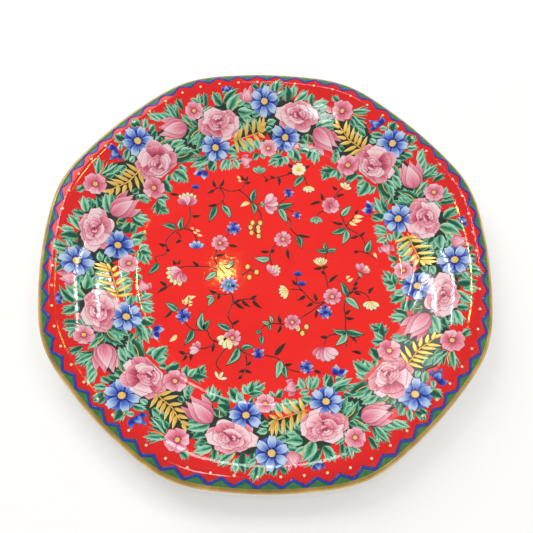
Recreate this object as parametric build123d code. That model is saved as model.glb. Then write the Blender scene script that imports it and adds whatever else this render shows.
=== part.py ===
from build123d import *
import math
import os

# A decorative porcelain plate: a flat well, a soft cavetto, a conical brim and
# a crest near the edge, from which the rim rolls over and turns down into a
# short outer wall. Seen from above, the outline is a soft eight-cornered round.
# The body is one pressed and fired piece on a low foot ring. The red ground, the
# printed strips, the printed field and the gilding are fired-on layers, each
# modelled as a thin inlaid solid. Every surface is ruled between level curves.
# Millimetres, +Z up, origin on the axis in the plane of the foot's tread.

# ---- driving dimensions -------------------------------------------------
R_LIP = 108.0          # mean radius of the outer wall
LOBES = 8              # soft corners round the outline
LOBE_AMP = 0.0125      # radial swell of a corner at the lip, as a share of radius
LOBE_SHARP = 0.15      # share of the second harmonic, which tightens the corners
CORNER_DEG = 22.5      # direction of the first corner from +X
LOBE_START = 70.2      # radius where the outline begins to leave the circle
FILM = 0.2             # thickness of each fired-on layer
FOOT_RO, FOOT_RI = 61.2, 58.0   # foot ring at its root
FOOT_TO, FOOT_TI = 60.6, 58.7   # foot ring at its tread
FOOT_EDGE = 0.5        # rounding of the tread
WREATH_RI = 56.0       # inner radius of the wreath's strips
N_PTS = 32             # points round each level curve

# Level curves of the upper surface, from the well out over the crest and the
# rolled edge to the outer wall: mean radius, height.
TOP = [
    (59.40, 6.30), (62.10, 6.41), (64.80, 6.71), (67.50, 7.25), (70.20, 8.03), (72.90, 8.97),
    (75.60, 10.01), (79.20, 11.45), (82.80, 12.87), (86.40, 14.25), (90.00, 15.54), (93.60, 16.74),
    (96.30, 17.53), (98.55, 18.06), (100.80, 18.38), (102.78, 18.18), (104.58, 17.64), (106.02, 16.88),
    (106.92, 16.17), (107.55, 15.39), (107.89, 14.58), (108.00, 13.68),
]
# Level curves of the outer wall and the underside, on to the flat base.
UNDER = [
    (108.00, 12.33), (107.86, 11.25), (107.41, 10.40), (106.65, 9.95), (105.84, 10.08), (105.26, 10.71),
    (104.81, 11.70), (104.17, 12.74), (103.05, 13.68), (101.34, 14.36), (99.00, 14.45), (96.30, 13.88),
    (93.60, 13.10), (90.00, 11.88), (86.40, 10.58), (82.80, 9.18), (79.20, 7.76), (75.60, 6.34),
    (72.45, 5.09), (69.75, 4.07), (67.50, 3.38), (64.80, 2.88), (62.10, 2.72),
]
WELL_R, WELL_Z = TOP[0]
BASE_R, BASE_Z = UNDER[-1]
CREST = 14             # the bordered strip starts at this level of TOP
GILT_IN = 17           # the gilt band starts at this level
GILT_OUT = 20          # and ends on the outer wall at this one


def swell(r):
    """Share of the lip's lobe that a level curve of mean radius r carries."""
    t = min(1.0, max(0.0, (r - LOBE_START) / (R_LIP - LOBE_START)))
    return LOBE_AMP * t * t * (3 - 2 * t)


def lobe(a):
    p = LOBES * (a - math.radians(CORNER_DEG))
    return math.cos(p) + LOBE_SHARP * math.cos(2 * p)


def curve(level):
    """Level curve of mean radius r at height z."""
    r, z = level
    pts = []
    for k in range(N_PTS):
        a = 2 * math.pi * k / N_PTS
        q = r * (1 + swell(r) * lobe(a))
        pts.append(Vector(q * math.cos(a), q * math.sin(a), z))
    params = [k / N_PTS for k in range(N_PTS + 1)]
    return Wire([Edge.make_spline(pts, periodic=True, parameters=params)])


def capped(levels):
    """Solid through the levels, closed by a flat disc at each end."""
    return Solid.make_loft([curve(lv) for lv in levels], ruled=True)


def ring(levels):
    """Ring-shaped solid whose cross-section is the closed polygon of levels."""
    faces = []
    for lv0, lv1 in zip(levels, levels[1:] + levels[:1]):
        faces += Shell.make_loft([curve(lv0), curve(lv1)], ruled=True).faces()
    return Solid(Shell(faces))


def down(levels, d):
    return [(r, z - d) for r, z in levels]


def between(i, j, d0, d1, r_in=None):
    """Ring of a layer from level i to level j, from depth d0 to depth d1."""
    lv = list(TOP[i:j + 1])
    if r_in is not None:
        lv = [(r_in, WELL_Z)] + lv
    return ring(down(lv, d0) + list(reversed(down(lv, d1))))


# ---- fired-on layers ----------------------------------------------------------
field_transfer = capped([(WREATH_RI, WELL_Z - FILM), (WREATH_RI, WELL_Z)])
wreath_ring = between(0, CREST, 0.0, FILM, r_in=WREATH_RI)
border_ring = between(CREST, GILT_IN, 0.0, FILM)
red_ground = capped(
    [(WELL_R, WELL_Z - 2 * FILM)] + down(TOP[1:GILT_IN + 1], 2 * FILM)
    + list(reversed(down(TOP[1:GILT_IN + 1], FILM))) + [(WELL_R, WELL_Z - FILM)]
)
gilt_top = TOP[GILT_IN:GILT_OUT + 1]
gilt_in = down(gilt_top[:-1], FILM) + [(gilt_top[-1][0] - FILM, gilt_top[-1][1])]
rim_gilding = ring(gilt_top + list(reversed(gilt_in)))

# ---- porcelain body --------------------------------------------------------
porcelain_body = capped(
    list(reversed(UNDER)) + list(reversed(TOP[GILT_OUT:])) + list(reversed(gilt_in))
    + list(reversed(down(TOP[:GILT_IN + 1], 2 * FILM)))
)


def quarter(shape, k):
    """The part of a ring in the k-th quarter round the axis."""
    a = math.radians(45 + 90 * k)
    far = 200
    wedge = Solid.extrude(
        Face(Wire.make_polygon([
            Vector(0, 0, 0),
            Vector(far * math.cos(a - math.pi / 4), far * math.sin(a - math.pi / 4), 0),
            Vector(far * math.sqrt(2) * math.cos(a), far * math.sqrt(2) * math.sin(a), 0),
            Vector(far * math.cos(a + math.pi / 4), far * math.sin(a + math.pi / 4), 0),
        ], close=True)), Vector(0, 0, 30))
    return (shape & wedge).solids()[0]


borders = [quarter(border_ring, k) for k in range(4)]
wreaths = [quarter(wreath_ring, k) for k in range(4)]

# ---- foot ring --------------------------------------------------------------
with BuildPart() as foot:
    with BuildSketch(Plane.XZ):
        with BuildLine():
            Polyline(
                (FOOT_RI, BASE_Z), (FOOT_RO, BASE_Z), (FOOT_TO, FOOT_EDGE),
                (FOOT_TO - FOOT_EDGE, 0), (FOOT_TI + FOOT_EDGE, 0), (FOOT_TI, FOOT_EDGE),
                close=True,
            )
        make_face()
    revolve(axis=Axis.Z)

nodes = {
    "porcelain_body": porcelain_body,
    "foot_ring": foot.part,
    "red_ground": red_ground,
    "rim_gilding": rim_gilding,
    **{f"border_transfer_{k + 1}": borders[k] for k in range(4)},
    **{f"wreath_transfer_{k + 1}": wreaths[k] for k in range(4)},
    "field_transfer": field_transfer,
}

os.makedirs("parts", exist_ok=True)
for name, shape in nodes.items():
    export_step(shape, f"parts/{name}.step")
    b = shape.bounding_box()
    print(name, len(shape.solids()), shape.is_valid, round(shape.volume, 2), [round(v, 2) for v in (*b.min, *b.max)])
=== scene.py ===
import bpy
import math
import random
import numpy as np
from mathutils import Matrix, Vector


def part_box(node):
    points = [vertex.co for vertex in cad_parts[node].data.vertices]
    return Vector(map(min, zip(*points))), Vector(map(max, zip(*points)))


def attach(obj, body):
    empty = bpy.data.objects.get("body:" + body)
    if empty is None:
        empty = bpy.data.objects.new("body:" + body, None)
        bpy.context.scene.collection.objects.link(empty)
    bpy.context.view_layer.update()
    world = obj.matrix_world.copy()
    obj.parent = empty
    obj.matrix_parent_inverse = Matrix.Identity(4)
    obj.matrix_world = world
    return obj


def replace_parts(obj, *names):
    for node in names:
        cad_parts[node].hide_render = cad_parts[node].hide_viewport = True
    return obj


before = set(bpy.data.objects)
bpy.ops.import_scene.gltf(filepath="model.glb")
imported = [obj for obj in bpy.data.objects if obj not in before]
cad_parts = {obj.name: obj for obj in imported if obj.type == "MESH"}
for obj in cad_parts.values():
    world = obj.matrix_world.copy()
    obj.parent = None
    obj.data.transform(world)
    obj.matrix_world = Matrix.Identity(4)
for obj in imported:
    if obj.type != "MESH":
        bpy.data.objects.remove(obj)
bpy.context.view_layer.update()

# ------------------------------------------------------------------ plate form
# All plate lengths are millimetres; they are turned into metres when a mesh is made.
R_LIP, AMP, SHARP, CORNER, LOBE_START = 108.0, 0.0125, 0.15, math.radians(22.5), 70.2
TOP = [(59.4, 6.3), (62.1, 6.41), (64.8, 6.71), (67.5, 7.25), (70.2, 8.03), (72.9, 8.97), (75.6, 10.01),
       (79.2, 11.45), (82.8, 12.87), (86.4, 14.25), (90.0, 15.54), (93.6, 16.74), (96.3, 17.53), (98.55, 18.06),
       (100.8, 18.38), (102.78, 18.18), (104.58, 17.64), (106.02, 16.87), (106.92, 16.17), (107.55, 15.39),
       (107.89, 14.58), (108.0, 13.68)]
UNDER = [(108.0, 12.33), (107.86, 11.25), (107.41, 10.4), (106.65, 9.95), (105.84, 10.08), (105.26, 10.71),
         (104.8, 11.7), (104.17, 12.73), (103.05, 13.68), (101.34, 14.36), (99.0, 14.45), (96.3, 13.88),
         (93.6, 13.09), (90.0, 11.88), (86.4, 10.57), (82.8, 9.18), (79.2, 7.76), (75.6, 6.34), (72.45, 5.08),
         (69.75, 4.07), (67.5, 3.38), (64.8, 2.88), (62.1, 2.72)]
DROP = 0.19            # the coloured ground lies this far under the CAD's face, so the print has room


def spline(pts, n):
    """Natural cubic through pts by chord length, sampled at n points."""
    p = np.array(pts, float)
    t = np.concatenate([[0], np.cumsum(np.hypot(*np.diff(p, axis=0).T))])
    m = len(p)
    A = np.zeros((m, m))
    B = np.zeros((m, 2))
    A[0, 0] = A[-1, -1] = 1
    h = np.diff(t)
    for i in range(1, m - 1):
        A[i, i - 1], A[i, i], A[i, i + 1] = h[i - 1], 2 * (h[i - 1] + h[i]), h[i]
        B[i] = 6 * ((p[i + 1] - p[i]) / h[i] - (p[i] - p[i - 1]) / h[i - 1])
    M = np.linalg.solve(A, B)
    s = np.linspace(0, t[-1], n)
    i = np.clip(np.searchsorted(t, s) - 1, 0, m - 2)
    a, b, hh = (t[i + 1] - s)[:, None], (s - t[i])[:, None], h[i][:, None]
    return (M[i] * a ** 3 + M[i + 1] * b ** 3) / (6 * hh) + (p[i] / hh - M[i] * hh / 6) * a + (p[i + 1] / hh - M[i + 1] * hh / 6) * b


DENSE = spline([(50.0, 6.3), (56.0, 6.3)] + TOP, 1600)
_r = np.concatenate([[0.0], DENSE[:, 0]])
_z = np.concatenate([[6.3], DENSE[:, 1]])


def swell(r):
    t = np.clip((r - LOBE_START) / (R_LIP - LOBE_START), 0, 1)
    return AMP * t * t * (3 - 2 * t)


def lobe(a):
    p = 8 * (a - CORNER)
    return np.cos(p) + SHARP * np.cos(2 * p)


def mean_radius(r, a):
    rho = np.array(r, float)
    for _ in range(5):
        rho = r / (1 + swell(rho) * lobe(a))
    return rho


def height(x, y):
    r = np.hypot(x, y)
    a = np.arctan2(y, x)
    return np.interp(mean_radius(r, a), _r, _z)


def drape(xy, h):
    """Points on the coloured ground, lifted by h millimetres."""
    xy = np.asarray(xy, float)
    z = height(xy[..., 0], xy[..., 1]) - DROP
    return np.stack([xy[..., 0], xy[..., 1], z + h], -1)


# ------------------------------------------------------------------ mesh making
class Mesh:
    """Collects slabs and makes one piece of them."""

    def __init__(self, name, slot):
        self.name, self.slot = name, slot
        self.v, self.f, self.smooth, self.mat, self.uv, self.tone = [], [], [], [], [], []
        self.mats = []
        self.n = 0

    def mat_index(self, m):
        if m not in self.mats:
            self.mats.append(m)
        return self.mats.index(m)

    def grid(self, P, Q, mat, tone=0.5):
        """Closed slab between the grid P (its top) and Q (its underside)."""
        nv, nu = P.shape[:2]
        k = self.mat_index(mat)
        base = self.n
        top = base + np.arange(nv * nu).reshape(nv, nu)
        bot = top + nv * nu
        self.v.append(P.reshape(-1, 3))
        self.v.append(Q.reshape(-1, 3))
        self.n += 2 * nv * nu
        vv, uu = np.meshgrid(np.linspace(0, 1, nv), np.linspace(0, 1, nu), indexing="ij")
        uvt = np.stack([uu, vv], -1).reshape(-1, 2)
        def quads(ix):
            return np.stack([ix[:-1, :-1], ix[:-1, 1:], ix[1:, 1:], ix[1:, :-1]], -1).reshape(-1, 4)
        ft = quads(top)
        fb = quads(bot)[:, ::-1]
        ring = np.concatenate([top[0, :-1], top[:-1, -1], top[-1, :0:-1], top[:0:-1, 0]])
        rb = ring + nv * nu
        fs = np.stack([np.roll(ring, -1), ring, rb, np.roll(rb, -1)], -1)
        for F, sm in ((ft, True), (fb, False), (fs, False)):
            self.f.append(F)
            self.smooth.append(np.full(len(F), sm))
            self.mat.append(np.full(len(F), k))
            idx = (F - base) % (nv * nu)
            self.uv.append(uvt[idx].reshape(-1, 2))
            self.tone.append(np.full((F.size, 2), tone))

    def build(self):
        V = np.concatenate(self.v) * 0.001
        F = np.concatenate(self.f)
        me = bpy.data.meshes.new(self.name)
        me.vertices.add(len(V))
        me.vertices.foreach_set("co", V.astype(np.float32).ravel())
        me.loops.add(F.size)
        me.loops.foreach_set("vertex_index", F.astype(np.int32).ravel())
        me.polygons.add(len(F))
        me.polygons.foreach_set("loop_start", np.arange(0, F.size, 4, dtype=np.int32))
        me.polygons.foreach_set("loop_total", np.full(len(F), 4, dtype=np.int32))
        me.update(calc_edges=True)
        me.polygons.foreach_set("use_smooth", np.concatenate(self.smooth))
        me.polygons.foreach_set("material_index", np.concatenate(self.mat).astype(np.int32))
        for nm, data in (("paint", self.uv), ("tone", self.tone)):
            lay = me.uv_layers.new(name=nm)
            lay.data.foreach_set("uv", np.concatenate(data).astype(np.float32).ravel())
        for m in self.mats:
            me.materials.append(m)
        me.validate()
        ob = bpy.data.objects.new(self.name, me)
        bpy.context.scene.collection.objects.link(ob)
        # collapsed tips leave faces of no area: merge them away
        import bmesh
        bm = bmesh.new()
        bm.from_mesh(me)
        bmesh.ops.remove_doubles(bm, verts=bm.verts, dist=2e-7)
        bmesh.ops.dissolve_degenerate(bm, edges=bm.edges, dist=1e-7)
        bmesh.ops.recalc_face_normals(bm, faces=bm.faces)
        bm.to_mesh(me)
        bm.free()
        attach(ob, "root")
        return ob


# ------------------------------------------------------------------ materials
def lin(r, g, b):
    f = lambda c: (c / 255 / 12.92) if c / 255 <= 0.04045 else ((c / 255 + 0.055) / 1.055) ** 2.4
    return (f(r), f(g), f(b), 1.0)


class Nodes:
    def __init__(self, name, rough=0.12, metallic=0.0, coat=0.0, spec=0.5, peel=0.25, fine=0.0):
        self.m = bpy.data.materials.new(name)
        self.m.use_nodes = True
        self.t = self.m.node_tree
        self.b = self.t.nodes["Principled BSDF"]
        self.b.inputs["Roughness"].default_value = rough
        self.b.inputs["Metallic"].default_value = metallic
        self.b.inputs["Coat Weight"].default_value = coat
        self.b.inputs["Specular IOR Level"].default_value = spec
        tc = self.t.nodes.new("ShaderNodeTexCoord")
        self.obj = tc.outputs["Object"]
        if peel:
            n = self.noise(420.0, 2.0, self.obj)
            n2 = self.noise(60.0, 1.0, self.obj)
            h = self.math("ADD", self.math("MULTIPLY", n, 0.35), n2)
            if fine:
                h = self.math("ADD", h, self.math("MULTIPLY", self.noise(850.0, 1.0, self.obj), fine))
            bump = self.t.nodes.new("ShaderNodeBump")
            bump.inputs["Strength"].default_value = peel
            bump.inputs["Distance"].default_value = 0.0002
            self.link(h, bump.inputs["Height"])
            self.link(bump.outputs["Normal"], self.b.inputs["Normal"])

    def link(self, a, b):
        self.t.links.new(a, b)

    def put(self, s, v):
        if isinstance(v, (int, float)):
            s.default_value = v
        elif isinstance(v, tuple):
            s.default_value = v
        else:
            self.link(v, s)

    def math(self, op, a, b=0.0, clamp=False):
        n = self.t.nodes.new("ShaderNodeMath")
        n.operation = op
        n.use_clamp = clamp
        self.put(n.inputs[0], a)
        self.put(n.inputs[1], b)
        return n.outputs[0]

    def noise(self, scale, detail, vec, dist=0.0):
        n = self.t.nodes.new("ShaderNodeTexNoise")
        n.inputs["Scale"].default_value = scale
        n.inputs["Detail"].default_value = detail
        n.inputs["Distortion"].default_value = dist
        self.link(vec, n.inputs["Vector"])
        return n.outputs["Fac"]

    def uv(self, name="paint"):
        n = self.t.nodes.new("ShaderNodeUVMap")
        n.uv_map = name
        s = self.t.nodes.new("ShaderNodeSeparateXYZ")
        self.link(n.outputs[0], s.inputs[0])
        return s.outputs[0], s.outputs[1]

    def vec(self, x, y, z=0.0):
        n = self.t.nodes.new("ShaderNodeCombineXYZ")
        for s, v in zip(n.inputs, (x, y, z)):
            self.put(s, v)
        return n.outputs[0]

    def ramp(self, fac, stops):
        n = self.t.nodes.new("ShaderNodeValToRGB")
        e = n.color_ramp.elements
        while len(e) < len(stops):
            e.new(0.5)
        for el, (p, c) in zip(e, stops):
            el.position = p
            el.color = c
        self.put(n.inputs[0], fac)
        return n.outputs[0]

    def mix(self, fac, a, b, mode="MIX"):
        n = self.t.nodes.new("ShaderNodeMix")
        n.data_type = "RGBA"
        n.blend_type = mode
        self.put(n.inputs[0], fac)
        self.put(n.inputs[6], a)
        self.put(n.inputs[7], b)
        return n.outputs[2]

    def colour(self, c):
        self.put(self.b.inputs["Base Color"], c)
        return self.m

    def rough(self, lo, hi, scale=90.0):
        n = self.noise(scale, 3.0, self.obj)
        r = self.math("ADD", self.math("MULTIPLY", n, hi - lo), lo)
        self.link(r, self.b.inputs["Roughness"])


GLAZE = dict(rough=0.042, spec=0.5, peel=0.12)


def leaf_material(name, dark, mid, light, edge):
    k = Nodes(name, **GLAZE)
    u, v = k.uv()
    tone, _ = k.uv("tone")
    d = k.math("MULTIPLY", k.math("ABSOLUTE", k.math("SUBTRACT", u, 0.5)), 2.0)
    side = k.math("SUBTRACT", u, 0.5)
    streak = k.noise(5.0, 2.0, k.vec(k.math("MULTIPLY", u, 1.2), k.math("ADD", k.math("MULTIPLY", v, 0.9), k.math("MULTIPLY", tone, 37.0)), tone))
    body = k.math("ADD", k.math("MULTIPLY", d, 0.62), k.math("MULTIPLY", side, 0.34))
    body = k.math("ADD", body, k.math("MULTIPLY", k.math("SUBTRACT", streak, 0.5), 0.75))
    body = k.math("ADD", body, k.math("MULTIPLY", k.math("SUBTRACT", tone, 0.5), 0.55))
    body = k.math("ADD", body, k.math("MULTIPLY", k.math("SUBTRACT", v, 0.55), 0.30), clamp=True)
    c = k.ramp(body, [(0.0, dark), (0.24, mid), (0.52, light), (0.86, edge)])
    hatch = k.math("SINE", k.math("MULTIPLY", k.math("SUBTRACT", k.math("MULTIPLY", v, 9.0), k.math("MULTIPLY", d, 3.4)), 6.2832))
    hatch = k.math("MULTIPLY", k.math("SUBTRACT", hatch, 0.35, clamp=True), k.math("SUBTRACT", 0.95, d, clamp=True))
    c = k.mix(k.math("MULTIPLY", hatch, 1.1, clamp=True), c, dark)
    vein = k.math("SUBTRACT", 1.0, k.math("MULTIPLY", d, 9.0), clamp=True)
    vein = k.math("MULTIPLY", vein, k.math("SUBTRACT", 1.05, v, clamp=True))
    c = k.mix(k.math("MULTIPLY", vein, 0.85), c, tuple(0.35 * x for x in dark[:3]) + (1.0,))
    return k.colour(c)


def petal_material(name, deep, mid, pale, tip, streaks=5.0, root=0.55, base=0.18):
    """Runs from deep at the root of a petal to pale at its end, in long brush strokes."""
    k = Nodes(name, **GLAZE)
    u, v = k.uv()
    tone, _ = k.uv("tone")
    st = k.noise(streaks, 2.5, k.vec(k.math("MULTIPLY", u, 3.0), k.math("ADD", k.math("MULTIPLY", v, 0.45), k.math("MULTIPLY", tone, 23.0)), tone))
    d = k.math("MULTIPLY", k.math("ABSOLUTE", k.math("SUBTRACT", u, 0.5)), 2.0)
    f = k.math("ADD", k.math("MULTIPLY", v, root), k.math("MULTIPLY", k.math("SUBTRACT", st, 0.5), 0.85))
    f = k.math("ADD", f, k.math("MULTIPLY", k.math("SUBTRACT", tone, 0.5), 0.9))
    f = k.math("ADD", f, k.math("MULTIPLY", k.math("MULTIPLY", d, d), 0.16))
    f = k.math("ADD", f, base, clamp=True)
    c = k.ramp(f, [(0.0, deep), (0.33, mid), (0.66, pale), (1.0, tip)])
    fine = k.noise(14.0, 1.0, k.vec(k.math("MULTIPLY", u, 3.0), k.math("ADD", k.math("MULTIPLY", v, 0.3), k.math("MULTIPLY", tone, 11.0)), 0.0))
    fine = k.math("MULTIPLY", k.math("SUBTRACT", fine, 0.56, clamp=True), 3.2, clamp=True)
    c = k.mix(k.math("MULTIPLY", fine, 0.5), c, mid)
    return k.colour(c)


def plain_material(name, a, b, scale=300.0, **kw):
    opts = dict(GLAZE)
    opts.update(kw)
    k = Nodes(name, **opts)
    n = k.noise(scale, 3.0, k.obj)
    return k.colour(k.ramp(n, [(0.3, a), (0.7, b)])), k

# ------------------------------------------------------------------ the wreath, one quadrant
# Two maps of the quadrant: side "a" runs from 315 to 270 degrees, side "b" from 360 to 315.
def at(side, x, y):
    th = math.radians((315.0 if side == "a" else 360.0) - x / 34.67)
    r = 108.0 - y / 17.31
    return np.array([r * math.cos(th), r * math.sin(th)])


LEAVES_A = [((112, 200), (103, 98), 4.5, 0), ((75, 185), (55, 118), 3, 0), ((140, 240), (213, 163), 3.5, 0), ((160, 282), (256, 250), 3.5, 0),
    ((150, 330), (235, 300), 3, 0), ((120, 400), (240, 355), 4, 0), ((330, 255), (250, 138), 3.5, 0), ((375, 275), (300, 165), 4, 0),
    ((430, 285), (358, 190), 4, 0), ((490, 295), (475, 133), 3.6, 1), ((530, 300), (512, 148), 3.6, 1), ((605, 255), (600, 128), 3, 1),
    ((640, 430), (562, 275), 4, 0), ((690, 420), (640, 360), 3.5, 0), ((795, 245), (728, 180), 3, 0), ((800, 285), (838, 155), 3, 0),
    ((850, 290), (890, 158), 3, 0), ((785, 335), (925, 295), 3.5, 0), ((770, 370), (850, 350), 3, 0), ((1035, 315), (980, 175), 5, 1),
    ((1060, 300), (1268, 188), 3.5, 0), ((1105, 372), (1265, 232), 6, 0), ((1215, 385), (1405, 397), 5.5, 0), ((1270, 310), (1400, 345), 4, 0),
    ((1215, 440), (1300, 500), 4, 0), ((1380, 430), (1500, 410), 4, 0), ((1470, 210), (1400, 156), 3, 0), ((1500, 215), (1527, 138), 3, 0),
    ((700, 455), (460, 532), 5, 0), ((735, 500), (540, 600), 6, 0), ((350, 470), (175, 410), 4, 0), ((270, 480), (465, 495), 4, 0),
    ((260, 540), (440, 525), 4, 0), ((200, 590), (548, 615), 6.5, 0), ((100, 660), (150, 818), 6, 0), ((90, 670), (10, 750), 5, 0),
    ((210, 645), (252, 728), 4, 0), ((690, 718), (325, 708), 4.5, 0), ((640, 690), (430, 680), 3, 0), ((690, 745), (560, 825), 4.5, 0),
    ((680, 750), (612, 852), 4, 0), ((660, 755), (735, 785), 3.5, 0), ((540, 765), (445, 750), 3.5, 0), ((915, 775), (748, 872), 3.5, 0),
    ((955, 780), (880, 892), 3, 0), ((960, 770), (1115, 772), 3, 0), ((1020, 800), (1045, 898), 4, 0), ((1045, 700), (1140, 660), 4, 0),
    ((1140, 825), (1060, 830), 3, 0), ((1440, 765), (1333, 832), 3.5, 0), ((1480, 770), (1530, 820), 3, 0), ((1290, 690), (1315, 760), 3, 0),
    ((1170, 690), (1215, 740), 3, 0), ((960, 700), (1110, 735), 4, 0), ((1200, 330), (1330, 300), 3.5, 0), ((60, 350), (150, 420), 4, 0),
    ((1250, 450), (1380, 470), 4, 0), ((560, 380), (640, 440), 4, 0), ((330, 560), (500, 590), 4, 0), ((560, 640), (470, 590), 3.5, 0), ((1170, 600), (1250, 745), 4.5, 0), ((1290, 620), (1365, 745), 4.5, 0), ((1400, 640), (1450, 735), 4, 0),
    ((1545, 640), (1490, 705), 4, 0), ((1230, 560), (1160, 480), 4.5, 0), ((1330, 560), (1270, 470), 4.5, 0), ((1430, 540), (1380, 450), 4, 0)]
LEAVES_B = [((105, 235), (135, 95), 3.5, 0), ((20, 235), (5, 150), 4, 0), ((60, 235), (85, 135), 3.5, 0), ((120, 260), (185, 215), 3, 0),
    ((235, 305), (205, 150), 5, 1), ((300, 260), (285, 142), 4, 0), ((335, 300), (447, 175), 5, 0), ((160, 310), (175, 230), 3, 0),
    ((505, 295), (490, 190), 4, 0), ((540, 300), (692, 222), 4.5, 0), ((560, 325), (700, 290), 3.5, 0), ((810, 207), (695, 160), 3.2, 0),
    ((625, 420), (750, 318), 5, 0), ((640, 465), (838, 365), 5, 0), ((700, 470), (880, 400), 4, 0), ((960, 240), (1140, 153), 3.5, 0),
    ((985, 265), (1198, 305), 4, 0), ((1000, 300), (1090, 340), 3.5, 0), ((1430, 242), (1412, 110), 5, 0), ((1400, 290), (1272, 338), 3.5, 0),
    ((1330, 250), (1395, 212), 3, 0), ((1240, 370), (1125, 340), 3.5, 0), ((1310, 370), (1400, 360), 3, 0), ((1000, 580), (1090, 705), 4, 0),
    ((1100, 560), (1010, 545), 3.5, 0), ((1440, 660), (1385, 792), 6, 0), ((1490, 690), (1560, 650), 4, 0), ((1190, 745), (912, 818), 4, 0),
    ((1200, 720), (1290, 815), 4.5, 0), ((1160, 745), (1150, 830), 3.5, 0), ((1080, 780), (975, 850), 4, 0), ((1070, 790), (1060, 898), 4, 0),
    ((1080, 785), (1130, 850), 3.5, 0), ((370, 705), (578, 808), 5.5, 0), ((340, 710), (440, 790), 4, 0), ((500, 660), (677, 690), 5, 0),
    ((470, 620), (650, 640), 5, 0), ((740, 640), (672, 770), 4, 0), ((750, 640), (808, 785), 4, 0), ((770, 640), (860, 690), 4, 0),
    ((265, 790), (30, 892), 4, 0), ((270, 780), (58, 802), 3.5, 0), ((285, 785), (382, 858), 4, 0), ((265, 800), (240, 897), 4, 0),
    ((230, 690), (210, 765), 3, 0), ((10, 500), (130, 480), 3.5, 0), ((0, 560), (90, 540), 4, 0), ((520, 560), (570, 600), 4, 0),
    ((560, 560), (690, 600), 4, 0), ((360, 330), (430, 260), 4, 0), ((620, 330), (700, 260), 4, 0), ((1060, 350), (1190, 370), 4, 0),
    ((660, 420), (720, 420), 4, 0), ((1010, 620), (1120, 640), 4, 0), ((130, 330), (60, 290), 4, 0)]
VEINS = {"a": [[(588, 345), (600, 390), (630, 425)], [(1262, 250), (1230, 315), (1140, 372)], [(715, 462), (620, 465), (540, 495)],
               [(150, 415), (250, 410), (330, 430)], [(220, 568), (310, 598), (420, 602)]],
         "b": [[(40, 165), (40, 225)], [(365, 232), (330, 265), (315, 310)], [(980, 245), (1060, 240), (1105, 215)],
               [(1393, 190), (1422, 240)], [(565, 540), (580, 575), (597, 612)], [(105, 375), (160, 405)]]}
FERNS = {"a": ([(1050, 622), (1200, 618), (1400, 590), (1560, 560)],
               [(1165, 615, 1238, 515), (1270, 605, 1318, 460), (1370, 590, 1410, 455), (1450, 575, 1480, 445), (1500, 565, 1528, 435),
                (1110, 620, 1125, 745), (1170, 625, 1275, 740), (1270, 615, 1385, 712), (1380, 600, 1470, 655), (1450, 590, 1545, 625),
                (1100, 618, 1165, 560), (1480, 560, 1560, 490), (1470, 575, 1560, 545)]),
         "b": ([(1330, 478), (1200, 470), (1100, 463), (980, 420), (880, 395), (820, 400)],
               [(1290, 470, 1262, 358), (1230, 470, 1200, 372), (1180, 468, 1142, 358), (1120, 465, 1072, 343), (1060, 455, 1005, 338),
                (1000, 425, 957, 318), (900, 395, 825, 347), (1290, 478, 1195, 582), (1220, 478, 1108, 572), (1130, 470, 1012, 532),
                (1060, 465, 928, 482), (990, 430, 870, 447), (930, 400, 818, 402)])}

# ------------------------------------------------------------------ the field, one map of 1200 units over 120 mm
def well(x, y):
    return np.array([x / 10.0 - 60.0, 60.0 - y / 10.0])


VINES = [[(330,180),(360,165),(400,180),(455,178),(480,160),(490,130)],[(460,178),(500,210),(525,245),(590,255)],[(362,165),(383,200),(378,240),(350,265),(335,285)],[(380,240),(390,268)],[(650,255),(690,228),(703,207)],[(660,275),(710,285),(745,300)],[(695,320),(720,350),(720,385),(735,410),(755,430)],[(545,265),(565,300),(572,335),(550,370),(540,400),(558,430)],[(225,180),(215,210)],[(155,210),(180,215)],[(215,280),(220,320),(210,365),(190,395),(155,408)],[(190,395),(230,410),(250,440),(258,470)],[(150,410),(120,440),(105,480),(115,510),(95,540),(60,550),(70,580)],[(155,415),(175,440),(165,462)],[(425,415),(400,435)],[(355,510),(348,550),(360,590),(385,620),(410,655)],[(155,612),(200,600),(260,598),(310,598),(360,608)],[(160,680),(130,700),(100,712)],[(475,640),(500,625),(522,608)],[(520,615),(545,620)],[(505,628),(513,648)],[(430,735),(438,770),(425,810),(415,850),(435,890),(440,920)],[(330,720),(370,740),(425,738)],[(440,790),(480,768),(550,765)],[(400,985),(360,975),(330,950),(320,925),(270,920),(235,905),(215,880)],[(150,822),(180,830)],[(215,812),(226,790)],[(290,1010),(330,1000),(350,985),(355,965)],[(200,1035),(250,1030)],[(405,1010),(375,1050),(365,1085),(385,1112)],[(460,1000),(490,1025),(535,1045)],[(585,1038),(620,1045),(650,1055),(675,1085),(700,1105),(752,1118)],[(500,1040),(505,1080),(495,1110),(480,1140)],[(740,70),(690,90),(640,105),(600,110),(582,85)],[(795,95),(805,130),(812,148)],[(945,215),(960,185),(988,160)],[(890,290),(865,300),(852,318)],[(970,300),(985,340),(1000,375),(1040,405),(1075,435),(1085,470),(1100,520),(1135,547)],[(1000,370),(1020,340),(1050,315)],[(1100,522),(1060,510),(1030,520)],[(640,480),(620,510),(618,560),(628,592)],[(900,510),(885,547)],[(870,590),(885,640),(895,705)],[(870,775),(835,780),(800,755),(770,720),(712,712)],[(770,720),(745,680),(742,650)],[(880,775),(840,800),(800,830),(770,850),(748,868)],[(685,890),(640,885),(600,890),(570,915),(575,950)],[(1052,645),(1030,670),(1015,710),(985,750),(968,800),(972,850),(970,900),(975,950),(968,1000)],[(990,730),(1040,720),(1080,740),(1097,768)],[(930,935),(880,950),(868,985)]]
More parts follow.
